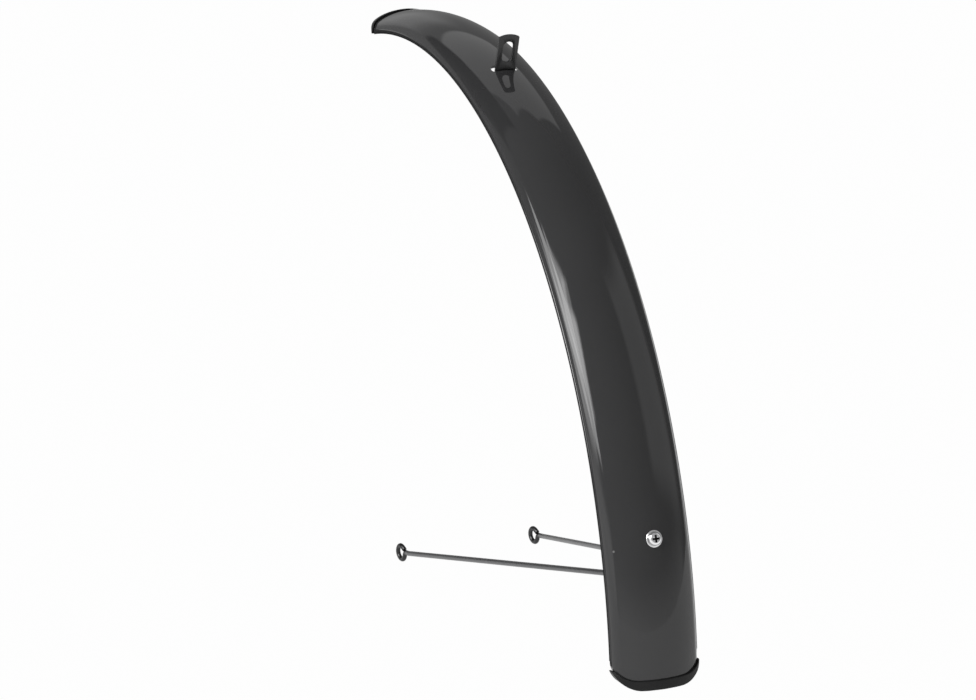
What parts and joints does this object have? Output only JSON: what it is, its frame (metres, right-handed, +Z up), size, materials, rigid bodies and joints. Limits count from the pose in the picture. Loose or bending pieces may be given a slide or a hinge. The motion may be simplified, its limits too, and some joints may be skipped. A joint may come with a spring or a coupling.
{
  "type": "bicycle mudguard",
  "caption": "Front bicycle mudguard: an arched plastic blade with edged ends, a slotted steel fork bracket and a U-shaped wire stay ending in bolt eyes.",
  "frame": {"origin": "middle of the fork bracket's bolt slot, where the bolt through the fork crown holds the mudguard", "axes": "+X forward, +Y to the rider's left, +Z up, as the mudguard sits on a bicycle that stands on level ground"},
  "size_m": [0.4236, 0.0954, 0.3498],
  "materials": {
    "blade_plastic": "dark grey, glossy",
    "edging_rubber": "black, satin",
    "bracket_paint": "black, semi-gloss",
    "stay_steel": "drawn wire, satin",
    "screw_chrome": "bright plated",
    "nut_steel": "zinc plated"
  },
  "bodies": {
    "root": {"mudguard_blade": "blade_plastic", "front_end_trim": "edging_rubber", "rear_end_trim": "edging_rubber", "fork_bracket": "bracket_paint", "wheel_stay": "stay_steel", "stay_clip": "stay_steel", "stay_screw": "screw_chrome", "stay_nut": "nut_steel"}
  },
  "joints": []
}
